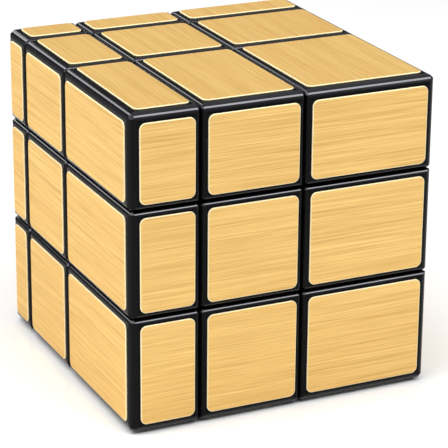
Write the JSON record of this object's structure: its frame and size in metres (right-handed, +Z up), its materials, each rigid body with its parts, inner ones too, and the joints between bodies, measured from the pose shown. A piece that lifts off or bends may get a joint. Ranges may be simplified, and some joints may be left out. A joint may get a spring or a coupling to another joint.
{
  "type": "mirror block cube",
  "caption": "Cube-shaped turning puzzle with black plastic blocks of unequal size under brushed gold foil stickers, shown solved; every face turns about an off-centre core.",
  "frame": {"origin": "middle of the closed cube's underside, on the surface it stands on", "axes": "+Z up; -Y out of the front face, whose layer is the thickest; -X out of the left face"},
  "size_m": [0.057, 0.057, 0.057],
  "materials": {
    "black_plastic": "glossy moulded black plastic",
    "gold_foil": "metallised gold film with fine brushed lines",
    "core_plastic": "satin moulded dark grey plastic",
    "steel": "bright zinc-plated steel"
  },
  "bodies": {
    "core_body": {"core": "core_plastic", "core_screws": "steel", "core_washers": "steel", "core_springs": "steel"},
    "front_left_bottom_corner_body": {"front_left_bottom_corner": "black_plastic", "front_left_bottom_corner_stickers": "gold_foil"},
    "front_left_edge_body": {"front_left_edge": "black_plastic", "front_left_edge_stickers": "gold_foil"},
    "front_left_top_corner_body": {"front_left_top_corner": "black_plastic", "front_left_top_corner_stickers": "gold_foil"},
    "left_bottom_edge_body": {"left_bottom_edge": "black_plastic", "left_bottom_edge_stickers": "gold_foil"},
    "left_centre_body": {"left_centre": "black_plastic", "left_centre_stickers": "gold_foil"},
    "left_top_edge_body": {"left_top_edge": "black_plastic", "left_top_edge_stickers": "gold_foil"},
    "back_left_bottom_corner_body": {"back_left_bottom_corner": "black_plastic", "back_left_bottom_corner_stickers": "gold_foil"},
    "back_left_edge_body": {"back_left_edge": "black_plastic", "back_left_edge_stickers": "gold_foil"},
    "back_left_top_corner_body": {"back_left_top_corner": "black_plastic", "back_left_top_corner_stickers": "gold_foil"},
    "front_bottom_edge_body": {"front_bottom_edge": "black_plastic", "front_bottom_edge_stickers": "gold_foil"},
    "front_centre_body": {"front_centre": "black_plastic", "front_centre_stickers": "gold_foil"},
    "front_top_edge_body": {"front_top_edge": "black_plastic", "front_top_edge_stickers": "gold_foil"},
    "bottom_centre_body": {"bottom_centre": "black_plastic", "bottom_centre_stickers": "gold_foil"},
    "top_centre_body": {"top_centre": "black_plastic", "top_centre_stickers": "gold_foil"},
    "back_bottom_edge_body": {"back_bottom_edge": "black_plastic", "back_bottom_edge_stickers": "gold_foil"},
    "back_centre_body": {"back_centre": "black_plastic", "back_centre_stickers": "gold_foil"},
    "back_top_edge_body": {"back_top_edge": "black_plastic", "back_top_edge_stickers": "gold_foil"},
    "front_right_bottom_corner_body": {"front_right_bottom_corner": "black_plastic", "front_right_bottom_corner_stickers": "gold_foil"},
    "front_right_edge_body": {"front_right_edge": "black_plastic", "front_right_edge_stickers": "gold_foil"},
    "front_right_top_corner_body": {"front_right_top_corner": "black_plastic", "front_right_top_corner_stickers": "gold_foil"},
    "right_bottom_edge_body": {"right_bottom_edge": "black_plastic", "right_bottom_edge_stickers": "gold_foil"},
    "right_centre_body": {"right_centre": "black_plastic", "right_centre_stickers": "gold_foil"},
    "right_top_edge_body": {"right_top_edge": "black_plastic", "right_top_edge_stickers": "gold_foil"},
    "back_right_bottom_corner_body": {"back_right_bottom_corner": "black_plastic", "back_right_bottom_corner_stickers": "gold_foil"},
    "back_right_edge_body": {"back_right_edge": "black_plastic", "back_right_edge_stickers": "gold_foil"},
    "back_right_top_corner_body": {"back_right_top_corner": "black_plastic", "back_right_top_corner_stickers": "gold_foil"}
  },
  "joints": [
    {"name": "left_turn", "type": "hinge", "parent": "core_body", "child": "left_centre_body", "pos_m": [-0.006, 0.01, 0.0305], "axis": [-1, 0, 0], "continuous": true},
    {"name": "front_turn", "type": "hinge", "parent": "core_body", "child": "front_centre_body", "pos_m": [-0.006, 0.01, 0.0305], "axis": [0, -1, 0], "continuous": true},
    {"name": "bottom_turn", "type": "hinge", "parent": "core_body", "child": "bottom_centre_body", "pos_m": [-0.006, 0.01, 0.0305], "axis": [0, 0, -1], "continuous": true},
    {"name": "top_turn", "type": "hinge", "parent": "core_body", "child": "top_centre_body", "pos_m": [-0.006, 0.01, 0.0305], "axis": [0, 0, 1], "continuous": true},
    {"name": "back_turn", "type": "hinge", "parent": "core_body", "child": "back_centre_body", "pos_m": [-0.006, 0.01, 0.0305], "axis": [0, 1, 0], "continuous": true},
    {"name": "right_turn", "type": "hinge", "parent": "core_body", "child": "right_centre_body", "pos_m": [-0.006, 0.01, 0.0305], "axis": [1, 0, 0], "continuous": true},
    {"name": "front_left_edge_follows_front", "type": "hinge", "parent": "left_centre_body", "child": "front_left_edge_body", "pos_m": [-0.006, 0.01, 0.0305], "axis": [0, -1, 0], "continuous": true},
    {"name": "left_bottom_edge_follows_left", "type": "hinge", "parent": "bottom_centre_body", "child": "left_bottom_edge_body", "pos_m": [-0.006, 0.01, 0.0305], "axis": [-1, 0, 0], "continuous": true},
    {"name": "left_top_edge_follows_left", "type": "hinge", "parent": "top_centre_body", "child": "left_top_edge_body", "pos_m": [-0.006, 0.01, 0.0305], "axis": [-1, 0, 0], "continuous": true},
    {"name": "back_left_edge_follows_back", "type": "hinge", "parent": "left_centre_body", "child": "back_left_edge_body", "pos_m": [-0.006, 0.01, 0.0305], "axis": [0, 1, 0], "continuous": true},
    {"name": "front_bottom_edge_follows_bottom", "type": "hinge", "parent": "front_centre_body", "child": "front_bottom_edge_body", "pos_m": [-0.006, 0.01, 0.0305], "axis": [0, 0, -1], "continuous": true},
    {"name": "front_top_edge_follows_top", "type": "hinge", "parent": "front_centre_body", "child": "front_top_edge_body", "pos_m": [-0.006, 0.01, 0.0305], "axis": [0, 0, 1], "continuous": true},
    {"name": "back_bottom_edge_follows_bottom", "type": "hinge", "parent": "back_centre_body", "child": "back_bottom_edge_body", "pos_m": [-0.006, 0.01, 0.0305], "axis": [0, 0, -1], "continuous": true},
    {"name": "back_top_edge_follows_top", "type": "hinge", "parent": "back_centre_body", "child": "back_top_edge_body", "pos_m": [-0.006, 0.01, 0.0305], "axis": [0, 0, 1], "continuous": true},
    {"name": "front_right_edge_follows_front", "type": "hinge", "parent": "right_centre_body", "child": "front_right_edge_body", "pos_m": [-0.006, 0.01, 0.0305], "axis": [0, -1, 0], "continuous": true},
    {"name": "right_bottom_edge_follows_right", "type": "hinge", "parent": "bottom_centre_body", "child": "right_bottom_edge_body", "pos_m": [-0.006, 0.01, 0.0305], "axis": [1, 0, 0], "continuous": true},
    {"name": "right_top_edge_follows_right", "type": "hinge", "parent": "top_centre_body", "child": "right_top_edge_body", "pos_m": [-0.006, 0.01, 0.0305], "axis": [1, 0, 0], "continuous": true},
    {"name": "back_right_edge_follows_back", "type": "hinge", "parent": "right_centre_body", "child": "back_right_edge_body", "pos_m": [-0.006, 0.01, 0.0305], "axis": [0, 1, 0], "continuous": true},
    {"name": "front_left_bottom_corner_follows_bottom", "type": "hinge", "parent": "front_left_edge_body", "child": "front_left_bottom_corner_body", "pos_m": [-0.006, 0.01, 0.0305], "axis": [0, 0, -1], "continuous": true},
    {"name": "front_left_top_corner_follows_top", "type": "hinge", "parent": "front_left_edge_body", "child": "front_left_top_corner_body", "pos_m": [-0.006, 0.01, 0.0305], "axis": [0, 0, 1], "continuous": true},
    {"name": "back_left_bottom_corner_follows_bottom", "type": "hinge", "parent": "back_left_edge_body", "child": "back_left_bottom_corner_body", "pos_m": [-0.006, 0.01, 0.0305], "axis": [0, 0, -1], "continuous": true},
    {"name": "back_left_top_corner_follows_top", "type": "hinge", "parent": "back_left_edge_body", "child": "back_left_top_corner_body", "pos_m": [-0.006, 0.01, 0.0305], "axis": [0, 0, 1], "continuous": true},
    {"name": "front_right_bottom_corner_follows_bottom", "type": "hinge", "parent": "front_right_edge_body", "child": "front_right_bottom_corner_body", "pos_m": [-0.006, 0.01, 0.0305], "axis": [0, 0, -1], "continuous": true},
    {"name": "front_right_top_corner_follows_top", "type": "hinge", "parent": "front_right_edge_body", "child": "front_right_top_corner_body", "pos_m": [-0.006, 0.01, 0.0305], "axis": [0, 0, 1], "continuous": true},
    {"name": "back_right_bottom_corner_follows_bottom", "type": "hinge", "parent": "back_right_edge_body", "child": "back_right_bottom_corner_body", "pos_m": [-0.006, 0.01, 0.0305], "axis": [0, 0, -1], "continuous": true},
    {"name": "back_right_top_corner_follows_top", "type": "hinge", "parent": "back_right_edge_body", "child": "back_right_top_corner_body", "pos_m": [-0.006, 0.01, 0.0305], "axis": [0, 0, 1], "continuous": true}
  ],
  "couplings": [
    {"joint": "front_left_edge_follows_front", "follows": "front_turn", "ratio": 1},
    {"joint": "left_bottom_edge_follows_left", "follows": "left_turn", "ratio": 1},
    {"joint": "left_top_edge_follows_left", "follows": "left_turn", "ratio": 1},
    {"joint": "back_left_edge_follows_back", "follows": "back_turn", "ratio": 1},
    {"joint": "front_bottom_edge_follows_bottom", "follows": "bottom_turn", "ratio": 1},
    {"joint": "front_top_edge_follows_top", "follows": "top_turn", "ratio": 1},
    {"joint": "back_bottom_edge_follows_bottom", "follows": "bottom_turn", "ratio": 1},
    {"joint": "back_top_edge_follows_top", "follows": "top_turn", "ratio": 1},
    {"joint": "front_right_edge_follows_front", "follows": "front_turn", "ratio": 1},
    {"joint": "right_bottom_edge_follows_right", "follows": "right_turn", "ratio": 1},
    {"joint": "right_top_edge_follows_right", "follows": "right_turn", "ratio": 1},
    {"joint": "back_right_edge_follows_back", "follows": "back_turn", "ratio": 1},
    {"joint": "front_left_bottom_corner_follows_bottom", "follows": "bottom_turn", "ratio": 1},
    {"joint": "front_left_top_corner_follows_top", "follows": "top_turn", "ratio": 1},
    {"joint": "back_left_bottom_corner_follows_bottom", "follows": "bottom_turn", "ratio": 1},
    {"joint": "back_left_top_corner_follows_top", "follows": "top_turn", "ratio": 1},
    {"joint": "front_right_bottom_corner_follows_bottom", "follows": "bottom_turn", "ratio": 1},
    {"joint": "front_right_top_corner_follows_top", "follows": "top_turn", "ratio": 1},
    {"joint": "back_right_bottom_corner_follows_bottom", "follows": "bottom_turn", "ratio": 1},
    {"joint": "back_right_top_corner_follows_top", "follows": "top_turn", "ratio": 1}
  ]
}
